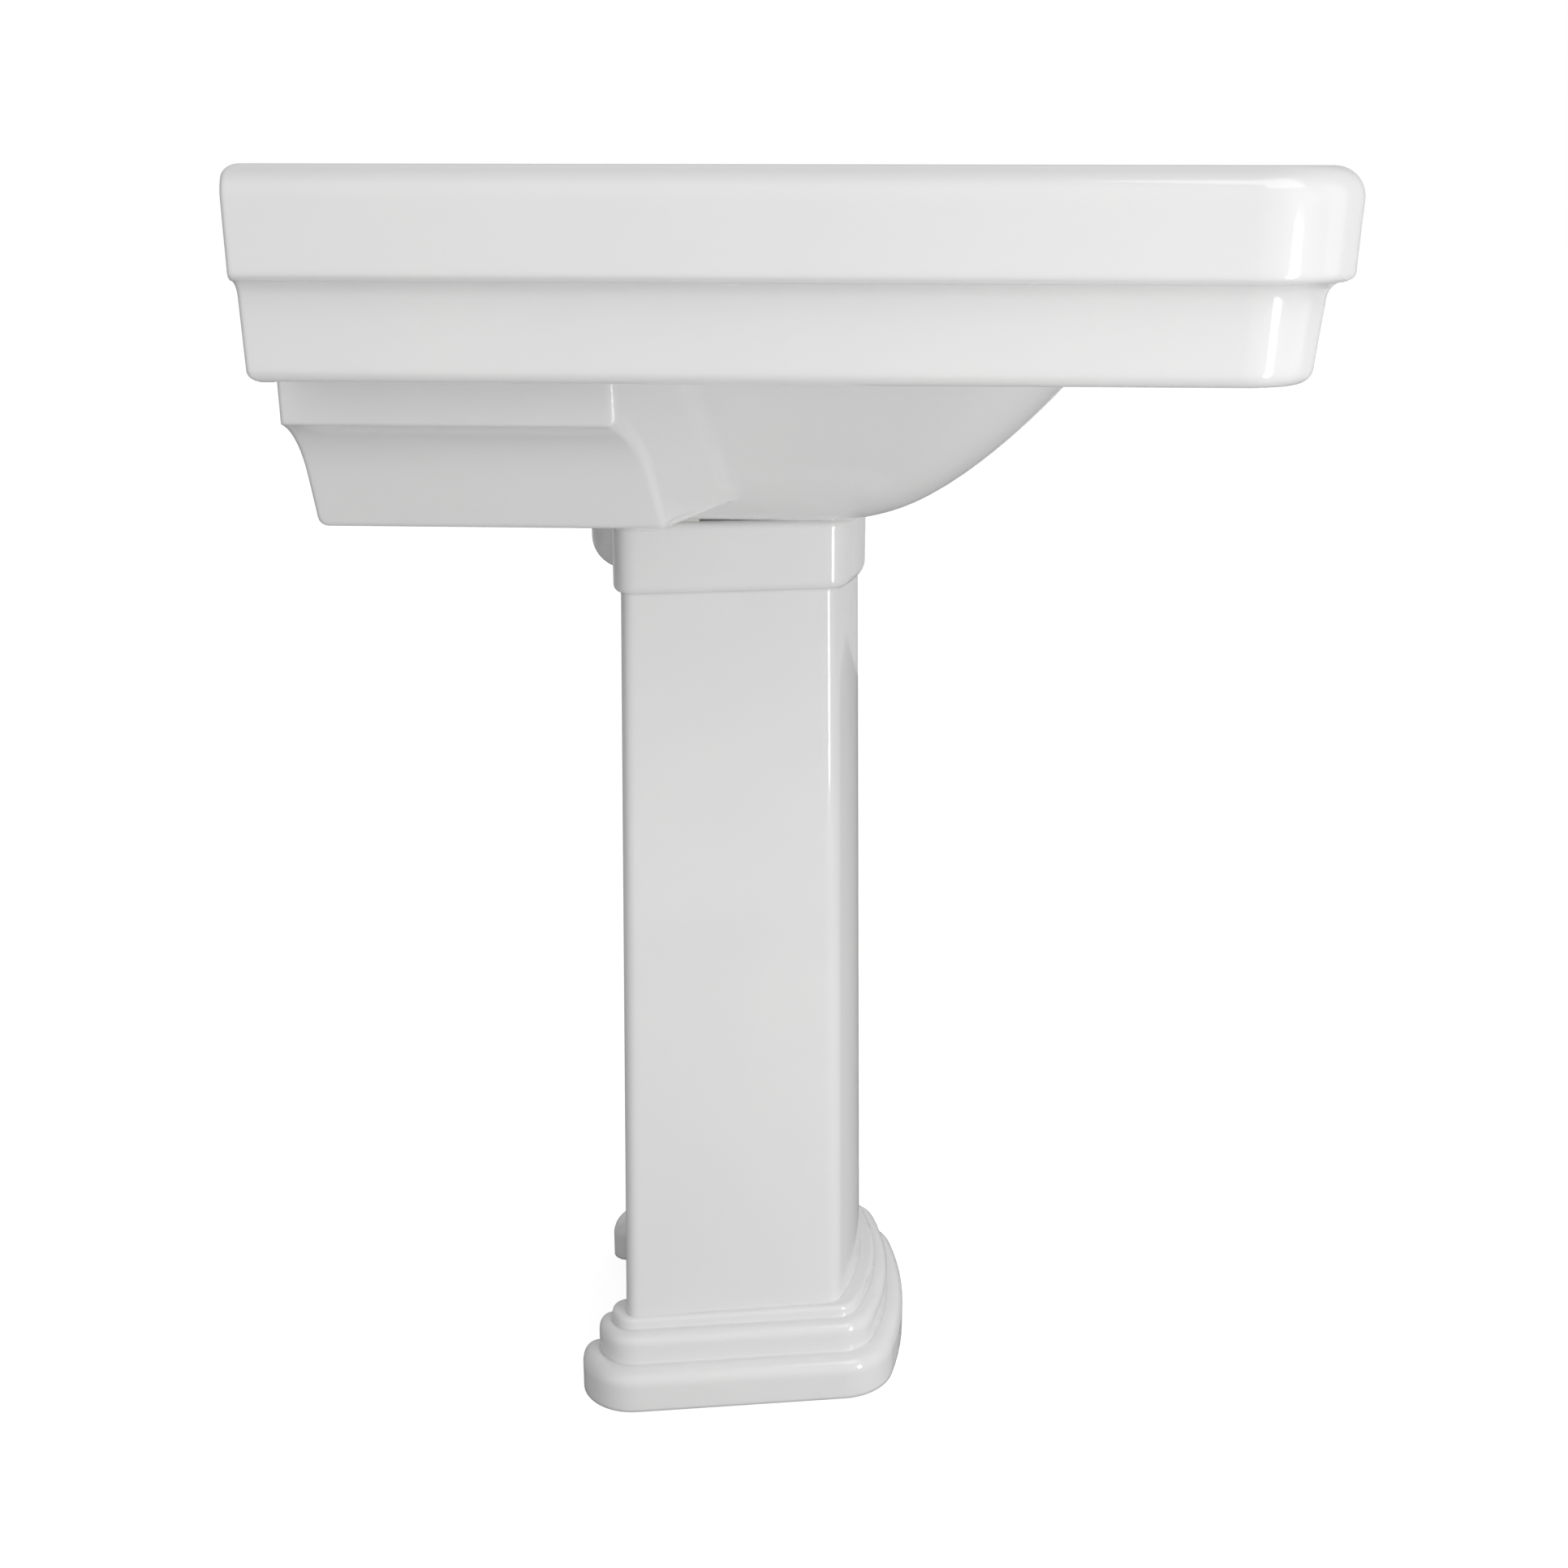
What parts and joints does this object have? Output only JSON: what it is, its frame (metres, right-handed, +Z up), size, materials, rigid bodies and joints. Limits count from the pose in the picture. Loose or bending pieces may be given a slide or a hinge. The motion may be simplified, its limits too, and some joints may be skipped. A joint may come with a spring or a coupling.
{
  "type": "pedestal sink",
  "caption": "White china pedestal sink with a moulded apron, a bowl set into an open-backed pedestal with a stepped plinth, a push-down stopper and a bottle trap.",
  "frame": {"origin": "on the floor, under the middle of the basin's width and depth", "axes": "+Z up, +Y towards the wall, -Y the front, X across the width"},
  "size_m": [0.699, 0.5595, 0.864],
  "materials": {
    "china": "gloss white glaze",
    "pad_rubber": "matte",
    "black_rubber": "matte",
    "polished_chrome": "polished",
    "stem_steel": "drawn",
    "brass_nut": "machined",
    "grey_plastic": "matte",
    "white_plastic": "semi gloss"
  },
  "bodies": {
    "sink": {"basin": "china", "pedestal": "china", "rest_pads": "pad_rubber", "drain_body": "polished_chrome", "flange_gasket": "black_rubber", "lower_gasket": "black_rubber", "friction_washer": "grey_plastic", "drain_locknut": "brass_nut", "stopper_cartridge": "grey_plastic", "stopper_spring": "stem_steel", "tailpiece": "polished_chrome", "tailpiece_seal": "black_rubber", "trap_body": "white_plastic", "trap_inlet_nut": "white_plastic", "trap_inlet_washer": "black_rubber", "trap_cup": "white_plastic", "trap_cup_seal": "black_rubber", "trap_outlet_nut": "white_plastic", "trap_outlet_washer": "black_rubber"},
    "stopper": {"stopper_cap": "polished_chrome", "stopper_cap_seal": "black_rubber", "stopper_stem": "stem_steel"}
  },
  "joints": [
    {"name": "stopper_press", "type": "slide", "parent": "sink", "child": "stopper", "axis": [0, 0, 1], "range_m": [-0.008, 0], "stiffness_N_per_m": 400, "springref_m": 0.004, "deforming": ["stopper_spring"]}
  ]
}
